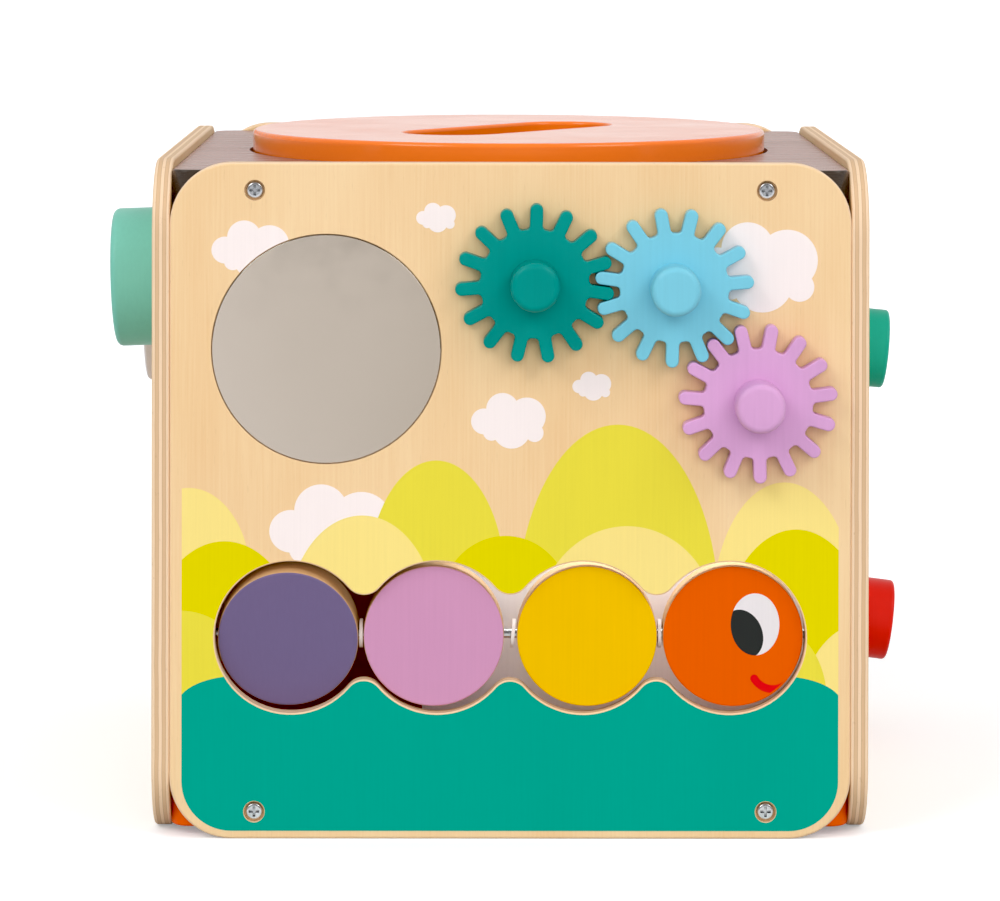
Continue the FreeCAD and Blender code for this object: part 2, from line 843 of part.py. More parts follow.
def slider(name):
    """A round knob whose stem runs in a slot, kept in by a wide washer.

    It leans about the middle of the panel's thickness."""
    half = DIMS["panel_t"] / 2.0
    middle = (DIMS[f"{name}_along"], DIMS[f"{name}_up"], HALF_W - half)
    spot = along(on_face(RIGHT, *middle, SLIDER_SAG[name]), half)
    made = Piece(f"{name}_slider", along(spot, DIMS["slider_gap"]))
    made.disc("slider_r", "slider_len")
    made.round_edges("slider_round", flat_at(DIMS["slider_len"]))
    made.round_edges("knob_base_ease", flat_at(0.0))
    made.disc("slider_stem_r", "slider_stem_len", down=True)
    made.hole("pilot_r", "keeper_pilot", "0 - slider_stem_len", upward=True)
    keep_from_inside(f"{name}_slider", spot, "slider_keeper_gap", "slider_keeper_r")


# ---- back: sun spinner ----


def sun_spinner():
    """A disc with round rays on the same peg and axle as the gears."""
    spot = on_face(BACK, 0.0, DIMS["sun_z"], HALF_D)
    washer("sun_spacer", spot, "spacer_r", "spacer_bore_r", "spacer_t")
    made = Piece("sun_disc", along(spot, worth("spacer_t + face_gap")))
    made.disc("sun_r", "sun_t")
    ray = made.sketch()
    circle(ray, "ray_r", "ray_at")
    made.repeat_round(made.pad(ray, "sun_t"), RAYS)
    made.round_edges("gear_ease", flat_at(0.0, DIMS["sun_t"]))
    made.hole("gear_bore_r", None, "sun_t")
    peg("sun", spot)
    keep_from_inside("sun", spot, "axle_play")


# ---- build and write ----


def write_nodes():
    doc.recompute()
    os.makedirs("parts", exist_ok=True)
    for node in NODES:
        faults = [state for state in node.State if state in ("Invalid", "Error")]
        shape = node.Shape
        if faults or shape.isNull() or not shape.isValid():
            raise ValueError(f"{node.Label} is not sound: {faults}")
        shape.exportStep(f"parts/{node.Label}.step")
        solids = len(shape.Solids)
        print(f"{node.Label:24s} {solids:2d} solid(s) {shape.Volume / 1000.0:9.2f} cm3")
    print(len(NODES), "nodes")


front_panel()
right_panel()
back_panel()
left_panel()
top_board()
board("bottom_board", DIMS["board_lift"])
panel_screws()
mirror()
gears()
worm()
inner_panel()
lid()
drum("mint")
drum("white")
slider("green")
slider("red")
sun_spinner()
write_nodes()
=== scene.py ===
import json
import math

import bpy
from mathutils import Euler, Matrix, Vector
from mathutils.geometry import delaunay_2d_cdt


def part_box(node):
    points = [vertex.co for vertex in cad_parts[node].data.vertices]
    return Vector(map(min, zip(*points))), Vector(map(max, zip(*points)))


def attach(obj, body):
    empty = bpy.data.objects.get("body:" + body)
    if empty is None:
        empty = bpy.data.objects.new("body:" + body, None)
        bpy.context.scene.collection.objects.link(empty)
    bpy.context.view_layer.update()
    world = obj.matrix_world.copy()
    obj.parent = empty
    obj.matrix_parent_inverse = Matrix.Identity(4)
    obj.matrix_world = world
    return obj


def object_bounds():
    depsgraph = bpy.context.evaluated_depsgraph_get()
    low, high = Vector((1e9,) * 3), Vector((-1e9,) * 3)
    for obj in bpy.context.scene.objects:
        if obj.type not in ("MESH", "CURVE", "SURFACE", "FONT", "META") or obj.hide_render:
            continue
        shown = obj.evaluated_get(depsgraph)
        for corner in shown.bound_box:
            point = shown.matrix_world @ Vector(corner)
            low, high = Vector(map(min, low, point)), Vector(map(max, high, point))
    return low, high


# Looks of the wooden activity cube: metres, +Z up, the side with the disc worm towards -Y.

MM = 0.001

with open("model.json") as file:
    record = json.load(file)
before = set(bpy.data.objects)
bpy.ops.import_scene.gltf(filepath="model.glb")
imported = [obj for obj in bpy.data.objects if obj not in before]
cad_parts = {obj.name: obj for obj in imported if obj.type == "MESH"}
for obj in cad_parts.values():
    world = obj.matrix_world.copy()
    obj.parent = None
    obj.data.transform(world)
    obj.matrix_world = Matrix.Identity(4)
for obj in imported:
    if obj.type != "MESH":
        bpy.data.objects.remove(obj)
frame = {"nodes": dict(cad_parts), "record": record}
cad_low, cad_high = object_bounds()


# ---- colours ----


def srgb(red, green, blue):
    """A display colour, 0 to 255 a channel, as the linear colour that a shader takes."""

    def linear(level):
        share = level / 255.0
        if share <= 0.04045:
            return share / 12.92
        return ((share + 0.055) / 1.055) ** 2.4

    return (linear(red), linear(green), linear(blue), 1.0)


def shade(colour, factor):
    """A colour made darker or lighter by a factor."""
    return tuple(min(1.0, channel * factor) for channel in colour[:3]) + (1.0,)


BIRCH_LIGHT = srgb(246, 216, 171)
BIRCH_DARK = srgb(234, 192, 140)
PLY_LIGHT = srgb(241, 211, 178)
PLY_DARK = srgb(219, 184, 146)
GLUE_LINE = srgb(182, 146, 110)
PLIES = 5
GLUE_SHARE = 0.018  # half a glue line, as a share of the panel's thickness
ZINC = srgb(232, 234, 238)
PRINT = {
    "cloud": srgb(250, 238, 236),
    "pale_hill": srgb(249, 226, 138),
    "green_hill": srgb(233, 219, 72),
    "lime_hill": srgb(226, 212, 0),
    "ground": srgb(0, 164, 144),
}


# ---- materials ----


class Finish:
    """A material on a principled shader, built up a node at a time in the piece's own frame."""

    def __init__(self, name):
        self.material = bpy.data.materials.new(name)
        self.material.use_nodes = True
        self.tree = self.material.node_tree
        self.shader = self.tree.nodes["Principled BSDF"]
        coords = self.tree.nodes.new("ShaderNodeTexCoord")
        self.place = coords.outputs["Object"]
        self.facing = coords.outputs["Normal"]

    def feed(self, source, socket):
        """Links a node's output to a socket, or sets the socket to a plain value."""
        if isinstance(source, bpy.types.NodeSocket):
            self.tree.links.new(source, socket)
        else:
            socket.default_value = source

    def set(self, **values):
        """Sets the shader's inputs by name, such as Base_Color or Roughness."""
        for name, value in values.items():
            self.feed(value, self.shader.inputs[name.replace("_", " ")])

    def compute(self, operation, first, second=0.0, clamp=False):
        """One step of arithmetic on values, such as ADD or MULTIPLY."""
        node = self.tree.nodes.new("ShaderNodeMath")
        node.operation = operation
        node.use_clamp = clamp
        self.feed(first, node.inputs[0])
        self.feed(second, node.inputs[1])
        return node.outputs[0]

    def ranged(self, value, low, high, to_low=0.0, to_high=1.0, smooth=False):
        """A value's place between two limits, carried to two others."""
        node = self.tree.nodes.new("ShaderNodeMapRange")
        if smooth:
            node.interpolation_type = "SMOOTHSTEP"
        for source, socket in zip((value, low, high, to_low, to_high), node.inputs):
            self.feed(source, socket)
        return node.outputs[0]

    def axis(self, vector, letter):
        """One component of a vector."""
        node = self.tree.nodes.new("ShaderNodeSeparateXYZ")
        self.feed(vector, node.inputs[0])
        return node.outputs["XYZ".index(letter)]

    def noise(self, per_metre, detail=3.0, roughness=0.5, offset=0.0):
        """Noise with a number of features to the metre along each axis."""
        mapping = self.tree.nodes.new("ShaderNodeMapping")
        mapping.inputs["Scale"].default_value = per_metre
        mapping.inputs["Location"].default_value = (offset, offset, offset)
        self.feed(self.place, mapping.inputs["Vector"])
        node = self.tree.nodes.new("ShaderNodeTexNoise")
        self.feed(mapping.outputs[0], node.inputs["Vector"])
        node.inputs["Scale"].default_value = 1.0
        node.inputs["Detail"].default_value = detail
        node.inputs["Roughness"].default_value = roughness
        return node.outputs["Fac"]

    def mix(self, share, first, second):
        """The first colour going over to the second as the share goes from 0 to 1."""
        node = self.tree.nodes.new("ShaderNodeMix")
        node.data_type = "RGBA"
        self.feed(share, node.inputs[0])
        self.feed(first, node.inputs[6])
        self.feed(second, node.inputs[7])
        return node.outputs[2]

    def ramp(self, value, stops):
        """Looks a value up in colours placed from 0 to 1."""
        node = self.tree.nodes.new("ShaderNodeValToRGB")
        elements = node.color_ramp.elements
        while len(elements) < len(stops):
            elements.new(0.5)
        for element, (position, colour) in zip(elements, stops):
            element.position = position
            element.color = colour
        self.feed(value, node.inputs[0])
        return node.outputs[0]

    def bump(self, height, depth_mm, strength):
        """Raises the surface by a height map, the last step of each finish that has one."""
        node = self.tree.nodes.new("ShaderNodeBump")
        node.inputs["Strength"].default_value = strength
        node.inputs["Distance"].default_value = depth_mm * MM
        self.feed(height, node.inputs["Height"])
        self.feed(node.outputs[0], self.shader.inputs["Normal"])


def grain_scale(along, across, grain_axis="Z"):
    """Noise features to the metre for a grain that runs along one axis."""
    return tuple(along if letter == grain_axis else across for letter in "XYZ")


def veneer(finish, light, dark, grain_axis="Z"):
    """The colour of a smooth face of birch: slow figure, fine fibres and short flecks."""
    figure = finish.noise(grain_scale(5.0, 26.0, grain_axis), 4.0, 0.55)
    fibre = finish.noise(grain_scale(22.0, 1100.0, grain_axis), 2.0, 0.6, 3.0)
    fleck = finish.noise(grain_scale(160.0, 1500.0, grain_axis), 1.0, 0.5, 7.0)
    slow = finish.ranged(figure, 0.3, 0.72, 0.0, 0.55)
    fine = finish.ranged(fibre, 0.25, 0.8, 0.0, 0.4)
    base = finish.mix(finish.compute("ADD", slow, fine, clamp=True), light, dark)
    spots = finish.ranged(fleck, 0.66, 0.78, 0.0, 0.22)
    return finish.mix(spots, base, shade(dark, 0.72)), fibre


def plywood(name, thickness_axis):
    """Lacquered birch ply: veneer on the two faces, five plies with glue lines on the edges."""
    finish = Finish(name)
    face_colour, fibre = veneer(finish, BIRCH_LIGHT, BIRCH_DARK)
    low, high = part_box(name)
    index = "XYZ".index(thickness_axis)
    across = finish.axis(finish.place, thickness_axis)
    wander = finish.ranged(finish.noise((60.0, 60.0, 60.0), 2.0), 0.0, 1.0, -0.035, 0.035)
    depth = finish.ranged(across, low[index], high[index])
    level = finish.compute("ADD", depth, wander)
    plies = finish.ramp(level, ply_stops())
    pits = finish.noise((900.0, 900.0, 260.0), 2.0, 0.6, 5.0)
    worn = finish.mix(finish.ranged(pits, 0.64, 0.76, 0.0, 0.4), plies, GLUE_LINE)
    normal = finish.compute("ABSOLUTE", finish.axis(finish.facing, thickness_axis))
    is_face = finish.ranged(normal, 0.72, 0.9, smooth=True)
    finish.set(Base_Color=finish.mix(is_face, worn, face_colour))
    finish.set(Roughness=finish.ranged(is_face, 0.0, 1.0, 0.62, 0.46))
    finish.set(Specular_IOR_Level=0.4)
    finish.bump(fibre, 0.03, 0.35)
    return finish.material


def ply_stops():
    """Colour stops across the plies, light and dark in turn, with glue lines between them."""
    stops = []
    for index in range(PLIES):
        tone = PLY_LIGHT if index % 2 == 0 else PLY_DARK
        start = index / PLIES
        end = (index + 1) / PLIES
        stops.append((start + (GLUE_SHARE if index else 0.0), tone))
        stops.append((end - GLUE_SHARE, tone))
        if index < PLIES - 1:
            stops.append((end, GLUE_LINE))
    return stops


def painted(name, colour, roughness=0.4, gloss=0.0, grain_axis="Z"):
    """Satin paint on wood: slight cloudiness, a trace of the grain and a fine orange peel."""
    finish = Finish(name)
    cloudy = finish.noise((22.0, 22.0, 22.0), 3.0)
    fibre = finish.noise(grain_scale(25.0, 700.0, grain_axis), 2.0, 0.6, 4.0)
    peel = finish.noise((420.0, 420.0, 420.0), 2.0, 0.5, 9.0)
    slow = finish.ranged(cloudy, 0.3, 0.7, 0.0, 0.7)
    fine = finish.ranged(fibre, 0.3, 0.7, 0.0, 0.3)
    share = finish.compute("ADD", slow, fine, clamp=True)
    finish.set(Base_Color=finish.mix(share, shade(colour, 1.05), shade(colour, 0.94)))
    finish.set(Roughness=finish.ranged(cloudy, 0.3, 0.7, roughness - 0.05, roughness + 0.05))
    finish.set(Specular_IOR_Level=0.18, Coat_Weight=gloss, Coat_Roughness=0.12)
    height = finish.compute("ADD", finish.compute("MULTIPLY", fibre, 0.6), peel)
    finish.bump(height, 0.012, 0.5)
    return finish.material


def painted_disc(name, colour):
    """A wooden disc with painted faces and a bare rim, its faces towards -Y and +Y."""
    finish = Finish(name)
    wood, _ = veneer(finish, srgb(226, 186, 138), srgb(196, 150, 104), "X")
    fibre = finish.noise(grain_scale(18.0, 950.0), 3.0, 0.6, 2.0)
    cloudy = finish.noise((16.0, 16.0, 16.0), 3.0)
    share = finish.ranged(finish.compute("ADD", fibre, cloudy), 0.7, 1.3)
    face = finish.mix(share, shade(colour, 1.01), shade(colour, 0.97))
    normal = finish.compute("ABSOLUTE", finish.axis(finish.facing, "Y"))
    is_face = finish.ranged(normal, 0.62, 0.7, smooth=True)
    finish.set(Base_Color=finish.mix(is_face, wood, face))
    finish.set(Roughness=finish.ranged(fibre, 0.3, 0.7, 0.4, 0.5), Specular_IOR_Level=0.2)
    finish.bump(fibre, 0.02, 0.4)
    return finish.material


def bare_wood(name, light, dark, grain_axis="X"):
    finish = Finish(name)
    colour, fibre = veneer(finish, light, dark, grain_axis)
    finish.set(Base_Color=colour, Roughness=0.6)
    finish.bump(fibre, 0.05, 0.5)
    return finish.material


def stained(name, colour, grain_axis="X", roughness=0.33):
    """Stained and lacquered board whose grain still shows."""
    finish = Finish(name)
    figure = finish.noise(grain_scale(6.0, 70.0, grain_axis), 4.0, 0.6)
    fibre = finish.noise(grain_scale(16.0, 900.0, grain_axis), 2.0, 0.6, 3.0)
    share = finish.ranged(finish.compute("ADD", figure, fibre), 0.75, 1.3)
    finish.set(Base_Color=finish.mix(share, shade(colour, 1.18), shade(colour, 0.8)))
    finish.set(Roughness=finish.ranged(fibre, 0.3, 0.7, roughness - 0.06, roughness + 0.08))
    finish.set(Sheen_Weight=0.35, Sheen_Roughness=0.35, Sheen_Tint=srgb(255, 190, 170))
    finish.bump(fibre, 0.03, 0.4)
    return finish.material


def metal(name, colour, roughness):
    """Bright metal with fine scratches, and painted shade down in its recesses: an occlusion node
    darkens its colour there.
    """
    finish = Finish(name)
    # painted shade: an occlusion node darkens the metal's colour in its own recesses, such as the
    # cross in a screw's head
    recess_occlusion = finish.tree.nodes.new("ShaderNodeAmbientOcclusion")
    recess_occlusion.only_local = True
    recess_occlusion.inputs["Distance"].default_value = 1.5 * MM
    painted_recess_shade = finish.ranged(recess_occlusion.outputs["AO"], 0.25, 0.85, 0.3, 1.0)
    scratch = finish.noise((3000.0, 300.0, 3000.0), 2.0, 0.6)
    blotch = finish.noise((300.0, 300.0, 300.0), 2.0, 0.5, 5.0)
    worn = finish.mix(finish.ranged(blotch, 0.3, 0.7), colour, shade(colour, 0.82))
    # the painted recess shade goes into the base colour
    finish.set(Base_Color=finish.mix(painted_recess_shade, shade(colour, 0.12), worn), Metallic=1.0)
    finish.set(Roughness=finish.ranged(scratch, 0.3, 0.7, roughness - 0.08, roughness + 0.1))
    finish.bump(scratch, 0.01, 0.15)
    return finish.material


def mirror_sheet(name):
    """Plastic mirror: a soft warm grey that is a painted reflection of a warm grey room, with a
    painted falloff that makes it a little darker towards +X.
    """
    finish = Finish(name)
    low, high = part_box("mirror")
    drift = finish.noise((9.0, 9.0, 4.0), 1.5, 0.4, 2.0)
    haze = finish.noise((90.0, 90.0, 90.0), 2.0, 0.5, 6.0)
    # painted reflection: the colour darkens across the mirror towards +X, with a slow drift, where
    # the reflected room would fall off
    across = finish.ranged(finish.axis(finish.place, "X"), low.x, high.x, -0.2, 0.8)
    share = finish.compute("ADD", across, finish.ranged(drift, 0.3, 0.7, 0.0, 0.4), clamp=True)
    # the two warm greys paint in the room that the mirror reflects
    colour = finish.mix(share, srgb(216, 203, 190), srgb(194, 181, 166))
    finish.set(Base_Color=colour, Metallic=1.0)
    finish.set(Roughness=finish.ranged(haze, 0.3, 0.7, 0.05, 0.09))
    return finish.material


def plastic(name, colour, roughness=0.45):
    finish = Finish(name)
    cloudy = finish.noise((120.0, 120.0, 120.0), 3.0)
    texture = finish.noise((2200.0, 2200.0, 2200.0), 2.0)
    share = finish.ranged(cloudy, 0.3, 0.7)
    finish.set(Base_Color=finish.mix(share, colour, shade(colour, 0.95)))
    finish.set(Roughness=finish.ranged(texture, 0.3, 0.7, roughness - 0.05, roughness + 0.07))
    finish.bump(texture, 0.01, 0.3)
    return finish.material


def ink(name, colour):
    """Printed ink: matt and flat, with the veneer's fibres showing faintly through."""
    finish = Finish(name)
    fibre = finish.noise(grain_scale(22.0, 1100.0), 2.0, 0.6, 3.0)
    figure = finish.noise(grain_scale(5.0, 26.0), 4.0, 0.55)
    share = finish.ranged(finish.compute("ADD", fibre, figure), 0.7, 1.35)
    finish.set(Base_Color=finish.mix(share, shade(colour, 1.01), shade(colour, 0.965)))
    finish.set(Roughness=0.5, Specular_IOR_Level=0.15)
    finish.bump(fibre, 0.02, 0.3)
    return finish.material


SLOT_FINISHES = {
    "taupe_board": lambda: stained("taupe_board", srgb(68, 57, 48), roughness=0.24),
    "orange_board": lambda: painted("orange_board", srgb(236, 98, 12), 0.4, 0.1, "X"),
    "zinc": lambda: metal("zinc", ZINC, 0.2),
    "mirror_sheet": lambda: mirror_sheet("mirror_sheet"),
    "white_plastic": lambda: plastic("white_plastic", srgb(238, 226, 222)),
    "teal_paint": lambda: painted("teal_paint", srgb(20, 146, 138), 0.36, 0.05),
    "blue_paint": lambda: painted("blue_paint", srgb(124, 201, 222), 0.36, 0.15),
    "lilac_paint": lambda: painted("lilac_paint", srgb(216, 164, 210), 0.36, 0.1),
    "purple_disc": lambda: painted_disc("purple_disc", srgb(118, 104, 142)),
    "pink_disc": lambda: painted_disc("pink_disc", srgb(208, 150, 187)),
    "yellow_disc": lambda: painted_disc("yellow_disc", srgb(240, 190, 0)),
    "orange_disc": lambda: painted_disc("orange_disc", srgb(230, 95, 8)),
    "steel_rod": lambda: metal("steel_rod", srgb(215, 216, 218), 0.22),
    "block_wood": lambda: bare_wood("block_wood", srgb(226, 196, 150), srgb(200, 164, 116)),
    "white_board": lambda: painted("white_board", srgb(236, 228, 228), 0.5),
    "orange_paint": lambda: painted("orange_paint", srgb(254, 128, 48), 0.18, 0.5, "X"),
    "white_paint": lambda: painted("white_paint", srgb(240, 232, 230), 0.4, 0.1),
    "mint_paint": lambda: painted("mint_paint", srgb(128, 204, 186), 0.4, 0.1),
    "green_paint": lambda: painted("green_paint", srgb(44, 178, 152), 0.4, 0.1),
    "red_paint": lambda: painted("red_paint", srgb(228, 44, 34), 0.4, 0.1),
    "yellow_paint": lambda: painted("yellow_paint", srgb(246, 198, 30), 0.36, 0.15),
    "orange_peg": lambda: painted("orange_peg", srgb(238, 118, 30), 0.36, 0.15),
}
PANEL_THICKNESS = {
    "front_panel": "Y",
    "back_panel": "Y",
    "left_panel": "X",
    "right_panel": "X",
}


def dress_nodes():
    """Gives every CAD node the material of its slot in the record."""
    made = {}
    for part in frame["record"]["subparts"]:
        node, slot = part["node"], part["material_slot"]
        if node in PANEL_THICKNESS:
            material = plywood(node, PANEL_THICKNESS[node])
        else:
            if slot not in made:
                made[slot] = SLOT_FINISHES[slot]()
            material = made[slot]
        shape = frame["nodes"][node]
        shape.data.materials.clear()
        shape.data.materials.append(material)


# ---- printed artwork, drawn in millimetres across and up ----


INK_LIFT = 0.07  # how far a film of ink stands proud of its surface, and how far it sinks in
INK_SINK = 0.03
PAGE_HALF = 137.3  # the printed area of the front
PAGE_LOW = 3.4
PAGE_HIGH = 280.0
PAGE_CORNER = 20.7
SCREW_ACROSS = 107.0  # the front's four screws
SCREW_UPS = (11.4, 271.4)
SCREW_CLEAR = 4.55
MIRROR_CLEAR = 0.5
LOBE_CENTRES = (-91.8, -30.5, 30.5, 91.8)  # the worm window: four lobes, with round points between
LOBE_RADIUS = 31.8
CUSP_RADIUS = 8.5
WINDOW_CLEAR = 0.62
HEAD_RIM = 28.4
SMILE_CENTRE = (16.8, -13.0)
SMILE_RADIUS = 9.05
SMILE_HALF = 1.7
SMILE_FROM = 210.5
SMILE_TO = 325.0


def middle(node):
    low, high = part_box(node)
    return (low + high) / 2.0


def ring(centre, radius, count=48):
    """A circle as points."""
    return ellipse(centre, radius, radius, count)


def ellipse(centre, half_wide, half_high, count=72, tilt=0.0):
    """An ellipse as points, tilted by some degrees."""
    points = []
    lean = math.radians(tilt)
    for index in range(count):
        turn = math.tau * index / count
        x = half_wide * math.cos(turn)
        z = half_high * math.sin(turn)
        across = centre[0] + x * math.cos(lean) - z * math.sin(lean)
        up = centre[1] + x * math.sin(lean) + z * math.cos(lean)
        points.append((across, up))
    return points


def rounded_page(half, bottom, top, radius, count=14):
    """The printed area: square at the top, with round corners at the bottom."""
    points = [(half, top), (-half, top)]
    for centre_x, start in ((-half + radius, 180.0), (half - radius, 270.0)):
        for index in range(count + 1):
            turn = math.radians(start + 90.0 * index / count)
            across = centre_x + radius * math.cos(turn)
            up = bottom + radius + radius * math.sin(turn)
            points.append((across, up))
    return points


def inside(point, outline):
    """Whether a point lies inside a closed outline."""
    x, z = point
    hit = False
    for (ax, az), (bx, bz) in zip(outline, outline[1:] + outline[:1]):
        if (az > z) != (bz > z) and x < ax + (z - az) * (bx - ax) / (bz - az):
            hit = not hit
    return hit


def centroid(triangle, spots):
    return sum((spots[index] for index in triangle), Vector((0.0, 0.0))) / 3.0


def layered(shapes, page, holes):
    """Cuts overlapping shapes, back to front, into regions that do not overlap.

    shapes holds (name, outline) pairs. Returns the points and, for each name, the triangles
    where that shape is the topmost one, inside the page and clear of the holes."""
    points = []
    edges = []
    for outline in [outline for _, outline in shapes] + [page] + holes:
        first = len(points)
        count = len(outline)
        points.extend(Vector(point) for point in outline)
        edges.extend((first + i, first + (i + 1) % count) for i in range(count))
    found = delaunay_2d_cdt(points, edges, [], 0, 1e-5)
    spots, triangles = found[0], found[2]
    regions = {}
    for triangle in triangles:
        spot = centroid(triangle, spots)
        if not inside(spot, page) or any(inside(spot, hole) for hole in holes):
            continue
        top = [name for name, outline in shapes if inside(spot, outline)]
        if top:
            regions.setdefault(top[-1], []).append(tuple(triangle))
    return spots, regions


def film(name, spots, triangles, place, material, body):
    """A thin closed layer of ink over triangles; place(x, z, lift) gives a point in space."""
    used = sorted({index for triangle in triangles for index in triangle})
    order = {index: position for position, index in enumerate(used)}
    count = len(used)
    vertices = [place(spots[index].x, spots[index].y, INK_LIFT) for index in used]
    vertices += [place(spots[index].x, spots[index].y, -INK_SINK) for index in used]
    faces = []
    rims = {}
    for triangle in triangles:
        a, b, c = (order[index] for index in triangle)
        faces.append((a, b, c))
        faces.append((c + count, b + count, a + count))
        for edge in ((a, b), (b, c), (c, a)):
            rims[edge] = rims.get(edge, 0) + 1
    for a, b in rims:
        if (b, a) not in rims:
            faces.append((b, a, a + count, b + count))
    mesh = bpy.data.meshes.new(name)
    mesh.from_pydata(vertices, [], faces)
    mesh.validate()
    mesh.update()
    mesh.materials.append(material)
    piece = bpy.data.objects.new(name, mesh)
    bpy.context.scene.collection.objects.link(piece)
    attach(piece, body)
    return piece


CLOUD_LOBES = [  # across, up and radius of each lobe of a cloud 31 mm wide
    (-10.2, -0.1, 5.4),
    (-7.0, -4.6, 3.6),
    (-2.5, 5.0, 6.8),
    (7.7, 2.0, 7.9),
    (1.3, -3.6, 7.9),
    (10.9, -4.9, 3.8),
]


CLOUDS = [  # across, up and scale
    (-108.8, 246.5, 1.04),
    (-31.3, 260.0, 0.53),
    (103.0, 239.2, 1.62),
    (-0.9, 175.0, 1.0),
    (33.9, 189.6, 0.52),
    (-75.0, 129.0, 1.65),
]
HILLS = [  # back to front: kind, across, top, half the width, half the height
    ("green_hill", -31.0, 158.5, 29.0, 52.5),
    ("green_hill", 44.9, 173.6, 42.5, 80.0),
    ("pale_hill", 114.5, 149.5, 30.0, 54.0),
    ("pale_hill", -134.3, 146.9, 26.0, 39.0),
    ("lime_hill", -119.5, 124.6, 32.0, 46.0),
    ("pale_hill", -62.0, 135.5, 31.0, 44.0),
    ("lime_hill", -2.0, 127.0, 28.0, 31.0),
    ("pale_hill", 48.9, 131.1, 38.0, 42.5),
    ("lime_hill", 119.5, 129.8, 32.0, 52.0),
    ("green_hill", -138.0, 95.6, 30.0, 31.0),
    ("pale_hill", 152.0, 92.0, 30.0, 36.0),
    ("green_hill", 111.5, 88.5, 21.0, 30.5),
]


def cloud(across, up, scale):
    """A cloud as overlapping circles."""
    return [
        ("cloud", ring((across + x * scale, up + z * scale), radius * scale))
        for x, z, radius in CLOUD_LOBES
    ]


def hill(kind, across, top, half_wide, half_high):
    """An egg-shaped hill whose highest point is at a height above the floor."""
    return (kind, ellipse((across, top - half_high), half_wide, half_high, 96))


def ground(half, top, flat_half, fall, count=16):
    """The ground: level across the middle, its ends rounded off as quarters of an ellipse."""
    low = -5.0
    right = []
    for index in range(count + 1):
        turn = math.pi / 2.0 * index / count
        across = flat_half + (half - flat_half) * math.sin(turn)
        right.append((across, top - fall * (1.0 - math.cos(turn))))
    left = [(-across, up) for across, up in reversed(right)]
    return ("ground", [(-half, low), (half, low)] + right[::-1] + left[::-1])


def front_shapes():
    """The shapes of the front's picture, back to front."""
    shapes = []
    for across, up, scale in CLOUDS:
        shapes += cloud(across, up, scale)
    shapes += [hill(*numbers) for numbers in HILLS]
    shapes.append(ground(139.0, 68.4, 112.0, 12.3))
    return shapes


def window_outline(grow):
    """The worm window's outline, let out by some millimetres: back along its top, then forward
    along its bottom."""
    up = middle("pink_segment").z / MM
    points = []
    for side, row in ((1.0, LOBE_CENTRES[::-1]), (-1.0, LOBE_CENTRES)):
        pairs = list(zip(row, row[1:]))
        leans = [0.0] + [cusp_lean(*pair) for pair in pairs] + [0.0]
        for index, centre in enumerate(row):
            start, end = leans[index], 180.0 - leans[index + 1]
            radius = LOBE_RADIUS + grow
            points += arc((centre, up), radius, start, end, range(25), 24.0, side)
            if index < len(pairs):
                lean = leans[index + 1]
                drop = (LOBE_RADIUS + CUSP_RADIUS) * math.sin(math.radians(lean))
                tip = (sum(pairs[index]) / 2.0, up + side * drop)
                radius = CUSP_RADIUS - grow
                points += arc(tip, radius, -lean, lean - 180.0, range(1, 12), 12.0, side)
    return points


def cusp_lean(centre, other):
    """How far above level, in degrees, two lobes meet the round point between them."""
    return math.degrees(math.acos(abs(other - centre) / 2.0 / (LOBE_RADIUS + CUSP_RADIUS)))


def arc(centre, radius, start, end, steps, count, side):
    """Points on an arc between two angles in degrees; a side of -1 turns it by half a turn."""
    points = []
    for step in steps:
        turn = math.radians(start + (end - start) * step / count)
        across = centre[0] + side * radius * math.cos(turn)
        points.append((across, centre[1] + side * radius * math.sin(turn)))
    return points


def front_print():
    """The front's picture: one film of ink for each colour, clear of mirror, window and screws."""
    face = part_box("front_panel")[0].y
    centre = middle("mirror")
    mirror_low, mirror_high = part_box("mirror")
    mirror_r = (mirror_high.x - mirror_low.x) / 2.0 / MM
    holes = [
        ring((centre.x / MM, centre.z / MM), mirror_r + MIRROR_CLEAR, 96),
        window_outline(WINDOW_CLEAR),
    ]
    for across in (-SCREW_ACROSS, SCREW_ACROSS):
        for up in SCREW_UPS:
            holes.append(ring((across, up), SCREW_CLEAR, 40))
    page = rounded_page(PAGE_HALF, PAGE_LOW, PAGE_HIGH, PAGE_CORNER)

    def place(x, z, lift):
        return (x * MM, face - lift * MM, z * MM)

    spots, regions = layered(front_shapes(), page, holes)
    for kind, triangles in regions.items():
        film(f"front_print_{kind}", spots, triangles, place, INKS[kind], "cube")


def head_face():
    """The worm's eye and smile, on the front and the back of its head."""
    low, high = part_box("head_segment")
    centre = (low + high) / 2.0
    eye = ellipse((9.3, 5.1), 10.2, 13.0)
    pupil = ellipse((4.2, 1.0), 8.2, 10.6, tilt=22.0)
    rim = ring((0.0, 0.0), HEAD_RIM, 96)
    spots, regions = layered([("eye", eye), ("pupil", pupil)], rim, [])
    regions["pupil"] = [t for t in regions["pupil"] if inside(centroid(t, spots), eye)]
    smile_spots, smile = layered([("smile", smile_outline())], rim, [])
    prints = [(kind, spots, triangles) for kind, triangles in regions.items()]
    prints.append(("smile", smile_spots, smile["smile"]))
    for word, side, y in (("front", -1.0, low.y), ("back", 1.0, high.y)):

        def place(x, z, lift):
            return (centre.x + x * MM, y + side * lift * MM, centre.z + z * MM)

        for kind, points, triangles in prints:
            if side > 0:
                triangles = [t[::-1] for t in triangles]
            label = f"head_{word}_{kind}"
            film(label, points, triangles, place, INKS[kind], "head_disc")


